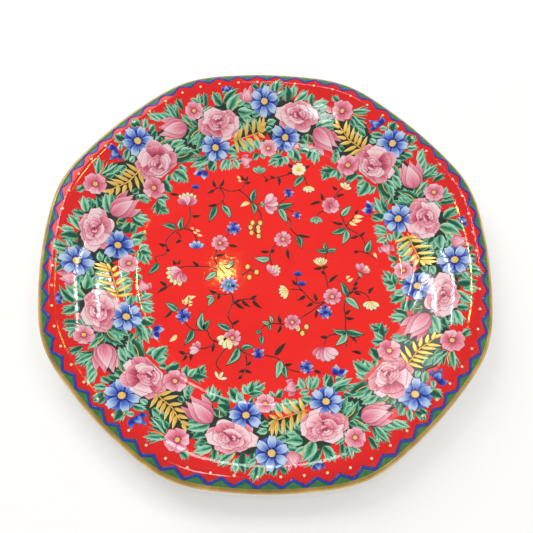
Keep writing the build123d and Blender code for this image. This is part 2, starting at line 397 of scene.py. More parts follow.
DARK_LEAVES = [(345,165,328,115),(362,160,383,112),(335,178,298,200),(350,258,300,268),(488,120,470,88),(490,125,505,95),(492,138,522,130),(750,425,820,437),(155,210,110,203),(228,328,272,322),(155,475,185,460),(105,492,68,476),(108,510,130,520),(415,483,460,490),(352,540,398,530),(160,590,142,565),(165,588,178,562),(270,598,235,568),(120,700,82,675),(125,705,75,740),(360,735,320,715),(372,740,365,770),(450,785,495,815),(480,768,525,805),(440,790,480,765),(520,765,555,745),(530,768,578,812),(435,890,470,868),(150,825,115,862),(352,985,345,1030),(220,1035,188,1022),(225,1038,208,1070),(250,1032,245,1068),(635,1040,688,978),(680,1085,718,1078),(815,1112,848,1125),(505,1085,528,1070),(495,1110,465,1120),(497,1110,530,1125),(482,1138,465,1152),(735,45,705,15),(735,70,705,75),(800,45,825,25),(640,105,618,90),(660,100,665,150),(605,112,590,128),(960,170,935,145),(955,208,1000,192),(888,232,875,185),(875,238,815,258),(1045,305,1065,280),(985,360,922,348),(1055,425,1012,440),(1062,430,1092,400),(1050,512,1028,508),(700,500,712,562),(610,515,565,515),(618,520,640,502),(870,600,823,605),(872,600,900,592),(880,632,862,615),(900,675,950,632),(785,742,740,768),(838,772,825,728),(820,782,785,800),(745,690,722,660),(838,815,828,860),(665,885,655,838),(665,895,648,935),(1020,690,1045,672),(1015,710,1040,700),(1090,730,1118,695),(1020,722,1052,740),(972,855,1015,857),(970,835,1000,812),(985,930,1022,980),(880,950,845,948),(1038,1030,990,1018)]
GREEN_LEAVES = [(345,275,315,355),(378,268,418,335),(530,240,545,168),(528,252,540,312),(660,268,735,248),(665,280,700,355),(752,432,768,495),(175,400,180,335),(150,398,83,378),(75,585,30,640),(400,605,438,560),(355,628,302,668),(345,755,308,755),(345,760,320,800),(425,918,362,888),(300,920,295,832),(305,920,330,868),(250,920,215,990),(175,825,118,785),(465,1005,412,1085),(480,1010,538,1000),(660,1065,640,1150),(678,1090,690,1148),(575,80,563,35),(788,95,738,155),(978,315,1028,258),(990,385,920,412),(1000,395,975,470),(1090,515,1118,445),(612,553,540,550),(895,505,885,463),(895,508,843,505),(900,508,945,498),(985,740,958,672),(978,755,1040,812),(975,925,908,915),(972,930,920,990),(975,920,1055,935),(610,890,575,875),(622,880,612,845),(608,888,615,920),(570,918,545,938),(575,945,578,990),(1062,645,1045,620)]
YELLOW_LEAVES = [(515,250,468,272),(225,390,240,402),(250,400,272,412),(238,412,260,422),(258,430,284,436),(210,795,230,745),(205,790,198,768),(225,770,262,752),(222,785,248,780),(228,800,246,790),(178,945,145,978),(1040,325,1088,318),(1030,340,1080,338),(1015,350,1052,368),(985,655,1005,640),(990,668,1018,652),(1128,515,1142,545),(450,98,468,112),(456,118,474,132)]
BERRIES = [(530,360),(568,360),(520,385),(558,385),(525,415),(560,405),(560,433),(507,597),(550,625),(515,652),(765,932),(785,900),(745,910)]

# ------------------------------------------------------------------ materials of the decoration
RNG = random.Random(7)
M_RED_K = Nodes("red_glaze", rough=0.055, spec=0.5, peel=0.22, fine=0.28)
_n = M_RED_K.noise(55.0, 4.0, M_RED_K.obj)
_n2 = M_RED_K.noise(900.0, 2.0, M_RED_K.obj)
_c = M_RED_K.ramp(_n, [(0.3, lin(249, 22, 14)), (0.7, lin(255, 32, 22))])
_c = M_RED_K.mix(M_RED_K.math("MULTIPLY", _n2, 0.25), _c, lin(236, 20, 14))
# Deeper red towards the brim, by distance from the centre: partly painted shade on the rim, partly a deeper red in the
# ground itself.
_len = M_RED_K.t.nodes.new("ShaderNodeVectorMath")
_len.operation = "LENGTH"
M_RED_K.link(M_RED_K.obj, _len.inputs[0])
_brim_shade_and_tint = M_RED_K.math("MULTIPLY", M_RED_K.math("SUBTRACT", _len.outputs["Value"], 0.084), 50.0, clamp=True)
M_RED = M_RED_K.colour(M_RED_K.mix(_brim_shade_and_tint, _c, lin(224, 20, 22)))
M_WHITE, _k = plain_material("white_glaze", lin(238, 235, 226), lin(247, 245, 239), 40.0, rough=0.1)
M_BISCUIT, _k = plain_material("bare_porcelain", lin(214, 206, 190), lin(230, 224, 211), 350.0, rough=0.75, spec=0.3, peel=0.6)
_g = Nodes("gold_lustre", rough=0.24, metallic=1.0, peel=0.3)
_gn = _g.noise(120.0, 4.0, _g.obj)
M_GILT = _g.colour(_g.ramp(_gn, [(0.3, lin(176, 140, 74)), (0.55, lin(205, 168, 96)), (0.75, lin(226, 194, 122))]))
_g.rough(0.18, 0.36, 200.0)
_f = Nodes("gold_print", rough=0.22, metallic=0.35, peel=0.3)
_u, _v = _f.uv()
_t, _x = _f.uv("tone")
_s = _f.noise(4.0, 2.0, _f.vec(_f.math("MULTIPLY", _u, 2.5), _f.math("ADD", _f.math("MULTIPLY", _v, 0.5), _f.math("MULTIPLY", _t, 19.0)), _t))
# Gold tone along each leaflet, lighter in streaks and towards the tip: the pale yellow top of the ramp is painted
# sheen of the gold, the deeper stops are the print's own gold.
_gold_tone_and_sheen = _f.math("ADD", _f.math("MULTIPLY", _s, 0.7), _f.math("MULTIPLY", _v, 0.28), clamp=True)
M_GOLD = _f.colour(_f.ramp(_gold_tone_and_sheen, [(0.2, lin(214, 148, 52)), (0.42, lin(242, 190, 88)), (0.62, lin(252, 222, 130)), (0.82, lin(255, 244, 184))]))
M_GREEN, _k = plain_material("border_green", lin(44, 112, 58), lin(70, 138, 78), 500.0)
M_BLUE, _k = plain_material("border_blue", lin(26, 52, 168), lin(40, 72, 192), 600.0)
M_NAVY, _k = plain_material("outline_navy", lin(14, 22, 78), lin(24, 34, 96), 600.0)
M_DOT, _k = plain_material("cream_dot", lin(250, 232, 160), lin(255, 246, 205), 900.0)
M_DARK, _k = plain_material("dark_underlay", lin(22, 38, 30), lin(38, 62, 48), 420.0)
M_VINE, _k = plain_material("vine_ink", lin(46, 18, 14), lin(74, 28, 20), 700.0)
M_YELL, _k = plain_material("yellow_enamel", lin(247, 205, 84), lin(255, 236, 140), 650.0)
M_EYE, _k = plain_material("flower_eye", lin(236, 178, 84), lin(250, 222, 138), 1500.0)
M_ROSEEYE, _k = plain_material("rose_eye", lin(120, 32, 62), lin(176, 70, 104), 1200.0)
M_PINKLINE, _k = plain_material("pink_outline", lin(158, 44, 76), lin(188, 72, 104), 900.0)
M_BLUELINE, _k = plain_material("blue_outline", lin(10, 24, 108), lin(20, 40, 140), 900.0)
M_LEAF = leaf_material("leaf_print", lin(12, 86, 64), lin(86, 174, 136), lin(152, 218, 184), lin(200, 240, 214))
M_SPRIG = leaf_material("sprig_leaf", lin(22, 100, 74), lin(126, 198, 158), lin(160, 218, 182), lin(192, 232, 202))
M_ROSE = petal_material("rose_petal", lin(156, 36, 70), lin(214, 92, 122), lin(244, 160, 178), lin(255, 222, 228), 4.0, 0.88, 0.13)
M_TULIP = petal_material("tulip_petal", lin(164, 48, 84), lin(216, 98, 130), lin(240, 152, 172), lin(255, 216, 224), 5.0, 0.85, 0.19)
M_PINK = petal_material("pink_petal", lin(190, 58, 92), lin(228, 110, 138), lin(246, 164, 182), lin(254, 214, 222), 4.0, 0.8)
M_CORN = petal_material("blue_petal", lin(10, 30, 140), lin(34, 70, 190), lin(108, 146, 220), lin(196, 218, 246), 6.0, 1.05, -0.12)
M_YPET = petal_material("yellow_petal", lin(232, 172, 72), lin(250, 216, 112), lin(254, 238, 160), lin(255, 249, 208), 4.0, 0.7)


def place(p, rot):
    c, s = math.cos(rot), math.sin(rot)
    p = np.asarray(p, float)
    return np.stack([p[..., 0] * c - p[..., 1] * s, p[..., 0] * s + p[..., 1] * c], -1)


def slab(mesh, xy, h, mat, tone=0.5, crown=0.0):
    nv, nu = xy.shape[:2]
    hh = np.full((nv, nu), h)
    if crown:
        u = np.linspace(-1, 1, nu)[None, :]
        v = np.linspace(-1, 1, nv)[:, None]
        hh = h + crown * (1 - u * u) * (1 - v * v) - crown
    mesh.grid(drape(xy, hh), drape(xy, -0.04), mat, tone)


def count(length, step=0.75, lo=3, hi=40):
    return int(np.clip(math.ceil(length / step) + 1, lo, hi))


def leaf(mesh, a, b, w, h, mat, bend=None, tone=None, rot=0.0, wave=0.0, teeth=0):
    a, b = np.array(a, float), np.array(b, float)
    d = b - a
    L = np.hypot(*d)
    d = d / L
    n = np.array([-d[1], d[0]])
    if bend is None:
        bend = RNG.uniform(-0.12, 0.12)
    if tone is None:
        tone = RNG.random()
    nv, nu = count(L, 0.6, 7, 40), count(w, 0.6, 5, 11)
    v = np.linspace(0, 1, nv)
    u = np.linspace(-1, 1, nu)
    prof = np.sin(np.pi * np.power(v, 0.82)) ** 0.9 * (1 - 0.18 * v)
    prof = np.maximum(prof, 0.0)
    if teeth:
        prof = prof * (1 - 0.13 * np.abs(((v * teeth) % 1.0) - 0.5) * 2)
    prof[0] = 0.06
    prof[-1] = 0.0
    mid = a[None] + d[None] * (L * v)[:, None] + n[None] * (bend * L * np.sin(np.pi * v))[:, None]
    xy = mid[:, None] + n[None, None] * (0.5 * w * prof[:, None] * u[None, :])[..., None] - d[None, None] * (0.16 * w * prof[:, None] * np.abs(u)[None, :])[..., None]
    slab(mesh, place(xy, rot), h, mat, tone)


def stroke(mesh, pts, w, h, mat, rot=0.0, taper=0.5, tone=None):
    p = np.array(pts, float)
    seg = np.concatenate([[0], np.cumsum(np.hypot(*np.diff(p, axis=0).T))])
    n = count(seg[-1], 0.6, 4, 200)
    q = spline([tuple(t) for t in p], n) if len(p) > 2 else np.stack([np.interp(np.linspace(0, seg[-1], n), seg, p[:, k]) for k in (0, 1)], -1)
    t = np.gradient(q, axis=0)
    t /= np.hypot(t[:, 0], t[:, 1])[:, None]
    nn = np.stack([-t[:, 1], t[:, 0]], -1)
    ww = w * 0.5 * (1 - (1 - taper) * np.linspace(0, 1, n))
    u = np.linspace(-1, 1, 3)
    xy = q[:, None] + nn[:, None] * (ww[:, None] * u[None])[..., None]
    slab(mesh, place(xy, rot), h, mat, RNG.random() if tone is None else tone)


def disc(mesh, c, r, h, mat, rot=0.0, fn=None, ell=1.0, turn=0.0, n=None, crown=0.0, tone=0.5):
    n = n or count(2 * r, 0.5, 6, 15)
    g = np.linspace(-1, 1, n)
    v, u = np.meshgrid(g, g, indexing="ij")
    x, y = u * np.sqrt(1 - v * v / 2), v * np.sqrt(1 - u * u / 2)
    if fn is not None:
        a = np.arctan2(y, x)
        k = 1 + (fn(a) - 1) * np.hypot(x, y)
        x, y = x * k, y * k
    x, y = x * r, y * r * ell
    ct, st = math.cos(turn), math.sin(turn)
    xy = np.stack([c[0] + x * ct - y * st, c[1] + x * st + y * ct], -1)
    slab(mesh, place(xy, rot), h, mat, tone, crown)


def petal(mesh, c, ang, r0, r1, w, h, mat, rot=0.0, tone=None, notch=0.0, curl=0.0, blunt=0.3, ell=1.0, turn=0.0, full=0.62, crown=0.0, line=None, lw=0.34):
    """From r0 to r1 along ang about c. ell and turn squash the whole flower."""
    if line is not None:
        petal(mesh, c, ang, r0, r1 + 0.45 * lw, w + lw, h - 0.003, line, rot, 0.5, notch, curl, blunt, ell, turn, full)
    nv, nu = count(r1 - r0, 0.6, 6, 24), count(w, 0.6, 5, 17)
    v = np.linspace(0, 1, nv)[:, None]
    u = np.linspace(-1, 1, nu)[None, :]
    prof = np.power(np.sin(np.pi * np.clip(v, 0, 1) ** 1.0 * full), 0.8)
    prof = np.maximum(prof, 0.12)
    end = 1 - blunt * np.abs(u) ** 2.4 - notch * np.exp(-(u / 0.22) ** 2)
    if notch:
        end = end + 0.05 * np.cos(u * 9.0)
    lon = r0 + (r1 - r0) * v * (1 + (end - 1) * v)
    lat = 0.5 * w * prof * u
    a = ang + curl * v
    x = lon * np.cos(a) - lat * np.sin(a)
    y = (lon * np.sin(a) + lat * np.cos(a))
    ct, st = math.cos(turn), math.sin(turn)
    y = y * ell
    xy = np.stack([c[0] + x * ct - y * st, c[1] + x * st + y * ct], -1)
    slab(mesh, place(xy, rot), h, mat, RNG.random() if tone is None else tone, crown)


def bluet(mesh, c, r, rot, n=10, h=0.075, ell=1.0, turn=0.0, seed=0):
    rr = random.Random(seed)
    ph = rr.uniform(0, 6.28)
    for i in list(range(0, n, 2)) + list(range(1, n, 2)):
        a = ph + i * 2 * math.pi / n + rr.uniform(-0.08, 0.08)
        deep = i % 2 == 0
        petal(mesh, c, a, 0.8, r * rr.uniform(0.86, 0.95) if deep else r * rr.uniform(0.93, 1.04), r * (0.48 if n > 10 else 0.56), h + (0.0 if deep else 0.02) + 0.003 * (i % 4), M_CORN, rot,
              tone=rr.uniform(0.05, 0.34) if deep else rr.uniform(0.62, 0.95), notch=0.16, blunt=0.2, ell=ell, turn=turn, full=0.66, line=M_BLUELINE, lw=0.26)
    disc(mesh, c, r * 0.30, h + 0.045, M_BLUELINE, rot, tone=0.0, fn=lambda a: 1 + 0.22 * np.cos(9 * a), ell=ell, turn=turn)
    disc(mesh, c, r * 0.205, h + 0.06, M_EYE, rot, ell=ell, turn=turn, crown=0.01)


def pinky(mesh, c, r, rot, n=5, h=0.075, eye=0.24, phase=None, seed=0, mat=None):
    rr = random.Random(seed)
    ph = rr.uniform(0, 6.28) if phase is None else phase
    mat = mat or M_PINK
    for i in range(n):
        petal(mesh, c, ph + i * 2 * math.pi / n, 0.10 * r, r * rr.uniform(0.94, 1.06), 1.50 * r * math.tan(math.pi / n), h + 0.006 * i, mat, rot, tone=0.95 if mat is M_YPET else rr.uniform(0.2, 0.62), notch=0.15, blunt=0.34, full=0.66, line=M_VINE if mat is M_YPET else M_PINKLINE, lw=0.3)
    disc(mesh, c, r * eye * 1.25, h + 0.042, M_YELL if mat is M_YPET else M_PINKLINE, rot, fn=lambda a: 1 + 0.25 * np.cos(7 * a))
    disc(mesh, c, r * eye * 0.9, h + 0.05, M_EYE, rot, crown=0.01)


def rose(mesh, c, rx, ry, turn, rot, eye=(0.0, 0.15), seed=0, h=0.066):
    """A full-blown rose: outer petals, then a cup of tighter ones about an eye off its centre."""
    rr = random.Random(seed)
    ell = ry / rx
    ph = rr.uniform(0, 6.28)
    hh = h
    for n, k0, k1, wd, t0 in ((7, 0.20, 1.02, 0.86, 0.48), (4, 0.10, 0.77, 1.12, 0.44)):
        order = list(range(n))
        rr.shuffle(order)
        for i in order:
            a = ph + n + i * 2 * math.pi / n + rr.uniform(-0.16, 0.16)
            petal(mesh, c, a, rx * k0, rx * k1 * rr.uniform(0.86, 1.08), rx * wd * rr.uniform(0.85, 1.15), hh, M_ROSE, rot, tone=t0 + (0.24 if i % 2 else -0.26) + rr.uniform(-0.08, 0.08), notch=rr.choice((0.0, 0.10, 0.14)), curl=rr.uniform(-0.3, 0.3), blunt=0.30, ell=ell, turn=turn, full=0.70, line=M_PINKLINE, lw=0.28)
            hh += 0.006
    ct, st = math.cos(turn), math.sin(turn)
    ex, ey = eye[0] * rx, eye[1] * ry
    e = np.array([c[0] + ex * ct - ey * st, c[1] + ex * st + ey * ct])
    disc(mesh, e, rx * 0.40, hh, M_ROSE, rot, ell=ell, turn=turn, tone=0.0)
    hh += 0.004
    for n, k0, k1, wd, t0 in ((3, 0.10, 0.54, 0.80, 0.56), (3, 0.06, 0.36, 0.50, 0.40), (2, 0.03, 0.21, 0.30, 0.66)):
        for i in range(n):
            a = ph + 0.9 * n + i * 2 * math.pi / n
            petal(mesh, e, a, rx * k0, rx * k1 * rr.uniform(0.92, 1.08), rx * wd, hh, M_ROSE, rot, tone=rr.uniform(t0 - 0.2, t0 + 0.3), curl=0.55, blunt=0.40, ell=ell, turn=turn, full=0.8, line=M_PINKLINE, lw=0.28)
            hh += 0.005
    disc(mesh, e, rx * 0.085, hh, M_ROSEEYE, rot, fn=lambda a: 1 + 0.35 * np.cos(3 * a + 1), ell=ell, turn=turn)


def tulip(mesh, base, tips, w, rot, h=0.07, mat=None, tone=None):
    """Pointed tips behind, and a closed cup of overlapping petals in front of them."""
    mat = mat or M_TULIP
    line = M_BLUELINE if mat is M_CORN else M_PINKLINE
    tips = [np.array(t, float) for t in tips]
    base = np.array(base, float)
    mid = sum(tips) / len(tips)
    d = mid - base
    L = np.hypot(*d)
    ang = math.atan2(d[1], d[0])
    n = np.array([-d[1], d[0]]) / L
    for k, t in enumerate(tips):
        off = (t - mid) @ n
        start = base + 0.30 * d + 0.35 * off * n
        bd = 0.16 * off / np.hypot(*(t - start))
        wk = w * (0.52 if len(tips) > 2 else 0.62)
        leaf(mesh, start, t + 0.03 * (t - start), wk + 0.3, h + 0.006 * k - 0.003, line, bend=bd, rot=rot)
        leaf(mesh, start, t, wk, h + 0.006 * k, mat, bend=bd, tone=RNG.uniform(0.1, 0.4) if tone is None else tone, rot=rot)
    hh = h + 0.006 * len(tips)
    for da, k1, wd, tn in ((0.22, 0.98, 0.66, 0.36), (-0.22, 0.98, 0.66, 0.26), (0.0, 0.90, 0.78, 0.60)):
        end = base + L * k1 * np.array([math.cos(ang + da * 0.5), math.sin(ang + da * 0.5)])
        leaf(mesh, base, end + 0.02 * (end - base), w * wd + 0.3, hh - 0.003, line, bend=0.55 * da, rot=rot)
        leaf(mesh, base, end, w * wd, hh, mat, bend=0.55 * da, tone=tn if tone is None else tone, rot=rot)
        hh += 0.006


# ------------------------------------------------------------------ the camera and the light
F, E, ROLL, PSI, CX, CY, DIST = 735.62, math.radians(67.481), math.radians(-5.729), math.radians(5.574), -0.239, 2.834, 362.94
right, upv, fwd = Vector((1, 0, 0)), Vector((0, math.sin(E), math.cos(E))), Vector((0, math.cos(E), -math.sin(E)))
cpos = CX * right + CY * upv - DIST * fwd
Rz = Matrix.Rotation(-PSI, 3, "Z")
rb = math.cos(ROLL) * right - math.sin(ROLL) * upv
ub = math.sin(ROLL) * right + math.cos(ROLL) * upv
cam = bpy.data.objects.new("camera", bpy.data.cameras.new("camera"))
bpy.context.scene.collection.objects.link(cam)
M = Matrix((Rz @ rb, Rz @ ub, -(Rz @ fwd))).transposed().to_4x4()
M.translation = (Rz @ cpos) * 0.001
cam.matrix_world = M
cam.data.sensor_width = 36.0
cam.data.lens = F / 533.0 * 36.0
cam.data.clip_start = 0.01
bpy.context.scene.camera = cam
bpy.context.scene.view_settings.view_transform = "Standard"
CAM_POS = np.array((Rz @ cpos)[:])


def pixel_ray(px, py):
    d = (Rz @ rb) * ((px - 266.5) / F) + (Rz @ ub) * ((266.5 - py) / F) + (Rz @ fwd)
    return np.array(d.normalized()[:])


def hit(px, py):
    d = pixel_ray(px, py)
    t = (CAM_POS[2] - 12.0) / -d[2]
    for _ in range(30):
        p = CAM_POS + d * t
        t -= (p[2] - float(height(p[0], p[1]))) / d[2] * 0.9
    p = CAM_POS + d * t
    e = 0.05
    gx = float(height(p[0] + e, p[1]) - height(p[0] - e, p[1])) / (2 * e)
    gy = float(height(p[0], p[1] + e) - height(p[0], p[1] - e)) / (2 * e)
    n = np.array([-gx, -gy, 1.0])
    n /= np.linalg.norm(n)
    r = d - 2 * (d @ n) * n
    return p, n, r


def lamp(name, px, py, size, size_y, power, colour=(1.0, 1.0, 1.0), far=900.0, turn=0.0):
    """An area light that shows in the glaze at that spot, as the photograph's lights do."""
    p, n, r = hit(px, py)
    li = bpy.data.lights.new(name, "AREA")
    li.shape = "RECTANGLE"
    li.size, li.size_y, li.energy, li.color = size, size_y, power, colour
    ob = bpy.data.objects.new(name, li)
    bpy.context.scene.collection.objects.link(ob)
    ob.location = Vector(p + r * far) * 0.001
    ob.rotation_euler = (Vector(r).to_track_quat("Z", "Y").to_matrix() @ Matrix.Rotation(turn, 3, "Z")).to_euler()
    return ob


world = bpy.data.worlds.new("studio")
bpy.context.scene.world = world
world.use_nodes = True
world.node_tree.nodes["Background"].inputs["Color"].default_value = (1.0, 0.985, 0.965, 1.0)
world.node_tree.nodes["Background"].inputs["Strength"].default_value = 0.54


def softbox(name, loc, target, size, power, colour=(1, 1, 1)):
    li = bpy.data.lights.new(name, "AREA")
    li.shape = "SQUARE"
    li.size, li.energy, li.color = size, power, colour
    ob = bpy.data.objects.new(name, li)
    bpy.context.scene.collection.objects.link(ob)
    ob.location = loc
    ob.rotation_euler = (Vector(loc) - Vector(target)).to_track_quat("Z", "Y").to_euler()
    return ob


softbox("key_light", (-0.64, 0.82, 0.86), (0, 0, 0), 0.82, 5.9, (1.0, 0.98, 0.94))
softbox("fill_light", (0.9, -0.2, 0.8), (0, 0, 0), 1.2, 1.5)

floor = bpy.data.meshes.new("floor")
S = 6.0
floor.from_pydata([(-S, -S, 0), (S, -S, 0), (S, S, 0), (-S, S, 0)], [], [(0, 1, 2, 3)])
floor_ob = bpy.data.objects.new("floor", floor)
bpy.context.scene.collection.objects.link(floor_ob)
_fm = Nodes("floor_paper", rough=0.7, spec=0.1, peel=0)
_fn = _fm.noise(4.0, 2.0, _fm.obj)
floor.materials.append(_fm.colour(_fm.ramp(_fn, [(0.3, (0.95, 0.95, 0.95, 1)), (0.7, (0.97, 0.97, 0.97, 1))])))
_fm.b.inputs["Emission Color"].default_value = (1.0, 1.0, 1.0, 1.0)
_fm.b.inputs["Emission Strength"].default_value = 0.13
floor_ob.location.z = -0.0001

# ------------------------------------------------------------------ body, ground and gilding
NA = 512
ANG = np.linspace(0, 2 * np.pi, NA + 1)


def ring_point(rho, z, a):
    r = 0.9998 * rho * (1 + swell(rho) * lobe(a))
    return np.stack([r * np.cos(a), r * np.sin(a), np.broadcast_to(z, r.shape)], -1)


def offset_path(path, d):
    """path: (rho, z) outwards over the top; moved d to its right-hand, inner side."""
    t = np.gradient(path, axis=0)
    t /= np.hypot(t[:, 0], t[:, 1])[:, None]
    return path + np.stack([t[:, 1], -t[:, 0]], -1) * np.asarray(d).reshape(-1, 1)


def lathe(name, loop, mat, closed_at_axis, nodes):
    """Revolves a closed (rho, z) loop about the axis, with the eight corners worked in."""
    loop = np.array(loop)
    m = len(loop)
    A = ANG[:-1]
    P = ring_point(loop[:, 0][:, None], loop[:, 1][:, None], A[None, :])
    me = bpy.data.meshes.new(name)
    verts = P.reshape(-1, 3) * 0.001
    idx = np.arange(m * NA).reshape(m, NA)
    faces = []
    last = m - 1 if closed_at_axis else m
    for j in range(last):
        a, b = idx[j], idx[(j + 1) % m]
        faces.append(np.stack([a, b, np.roll(b, -1), np.roll(a, -1)], -1))
    faces = np.concatenate(faces).tolist()
    vl = verts.tolist()
    if closed_at_axis:
        for row, flip in ((0, 1), (m - 1, 0)):
            c = len(vl)
            vl.append([0.0, 0.0, float(loop[row, 1] * 0.001)])
            for i in range(NA):
                f = [c, int(idx[row, i]), int(idx[row, (i + 1) % NA])]
                faces.append(f[::-1] if flip else f)
    me.from_pydata(vl, [], faces)
    me.materials.append(mat)
    me.polygons.foreach_set("use_smooth", np.ones(len(me.polygons), bool))
    import bmesh
    bm = bmesh.new()
    bm.from_mesh(me)
    bmesh.ops.recalc_face_normals(bm, faces=bm.faces)
    for e in bm.edges:
        if len(e.link_faces) == 2 and e.calc_face_angle(0) > math.radians(45):
            e.smooth = False
    bm.to_mesh(me)
    bm.free()
    ob = bpy.data.objects.new(name, me)
    bpy.context.scene.collection.objects.link(ob)
    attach(ob, "root")
    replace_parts(ob, *nodes)
    return ob


def thin(p, step):
    s = np.concatenate([[0], np.cumsum(np.hypot(*np.diff(p, axis=0).T))])
    n = max(3, int(s[-1] / step) + 1)
    q = np.linspace(0, s[-1], n)
    return np.stack([np.interp(q, s, p[:, k]) for k in (0, 1)], -1)


top = thin(DENSE, 0.4)
flat_in = np.stack([np.linspace(4.0, top[0, 0], 12)[:-1], np.full(11, 6.3)], -1)
top_all = np.concatenate([flat_in, top])
wall = thin(np.array([TOP[-1], UNDER[0]], float), 0.35)
under = thin(spline(UNDER, 700), 0.45)
under_in = np.stack([np.linspace(62.0, 4.0, 16), np.full(16, 2.72)], -1)
depth = np.interp(top_all[:, 0], [0, 105.4, 106.6, 107.4, 108.0], [0.36, 0.36, 0.22, 0.12, 0.0])
body_top = offset_path(top_all, depth)
low = top_all[:, 1] < 14.9
keep = ~(low & (top_all[:, 0] > 107))
body_loop = np.concatenate([body_top[keep], [[107.93, 14.6], [107.99, 13.9]], wall[1:], under[1:], under_in])
body = lathe("porcelain_plate", body_loop, M_WHITE, True, ["porcelain_body"])

g_end = top_all[top_all[:, 0] < 106.1]
ground_top = offset_path(g_end, DROP)
ground_bot = offset_path(g_end, 0.34)
lathe("red_glazed_ground", np.concatenate([ground_top, ground_bot[::-1]]), M_RED, True, ["red_ground"])

gl = DENSE[(DENSE[:, 0] > 105.9) & (DENSE[:, 1] > 14.75)]
gl = thin(gl, 0.22)
dd = np.interp(np.arange(len(gl)), [0, 1, len(gl) - 2, len(gl) - 1], [0.12, 0.03, 0.03, 0.06])
lathe("gilt_rim_band", np.concatenate([offset_path(gl, dd), offset_path(gl, 0.24)[::-1]]), M_GILT, False, ["rim_gilding"])

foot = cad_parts["foot_ring"]
foot.data.materials.clear()
foot.data.materials.append(M_BISCUIT)

# ------------------------------------------------------------------ which CAD quadrant is which
def quadrant_nodes(prefix):
    out = {}
    for i in (1, 2, 3, 4):
        lo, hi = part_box("%s_%d" % (prefix, i))
        c = (lo + hi) / 2
        out[int(math.degrees(math.atan2(c[1], c[0])) % 360 // 90)] = "%s_%d" % (prefix, i)
    if len(out) != 4:
        out = {k: "%s_%d" % (prefix, k + 1) for k in range(4)}
    return out


BORDER = quadrant_nodes("border_transfer")
WREATH = quadrant_nodes("wreath_transfer")


def lobed(rho, a):
    r = rho * (1 + swell(rho) * lobe(a))
    return np.stack([r * np.cos(a), r * np.sin(a)], -1)


TOOTH = math.radians(5.625)
for q in range(4):
    a = np.linspace(q * math.pi / 2, (q + 1) * math.pi / 2, 16 * 16 + 1)
    tri = np.abs(((a / TOOTH) % 1.0) - 0.5) * 2          # 1 at multiples of the tooth, 0 half way
    zc = 105.45 - 3.05 * tri
    def band(mesh, lo, hi, h, mat, nv=6):
        rho = lo[None] + (hi - lo)[None] * np.linspace(0, 1, nv)[:, None]
        xy = lobed(rho, a[None])
        mesh.grid(drape(xy, h), drape(xy, -0.04), mat, 0.5)
    m = Mesh("border_%s_teeth" % q, "printed_border")
    band(m, zc, np.full_like(a, 106.08), 0.03, M_GREEN, 9)
    band(m, zc - 0.92, np.minimum(zc + 0.72, 106.08), 0.045, M_NAVY, 6)
    band(m, zc - 0.60, np.minimum(zc + 0.54, 106.08), 0.06, M_BLUE, 5)
    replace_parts(m.build(), BORDER[q])
    m = Mesh("border_%s_dots" % q, "printed_border")
    for i in range(16):
        t = q * math.pi / 2 + (i + 0.5) * TOOTH
        c = lobed(np.array(100.81), np.array(t))
        disc(m, c, 0.58, 0.075, M_DOT, n=7, crown=0.03)
    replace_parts(m.build(), BORDER[q])

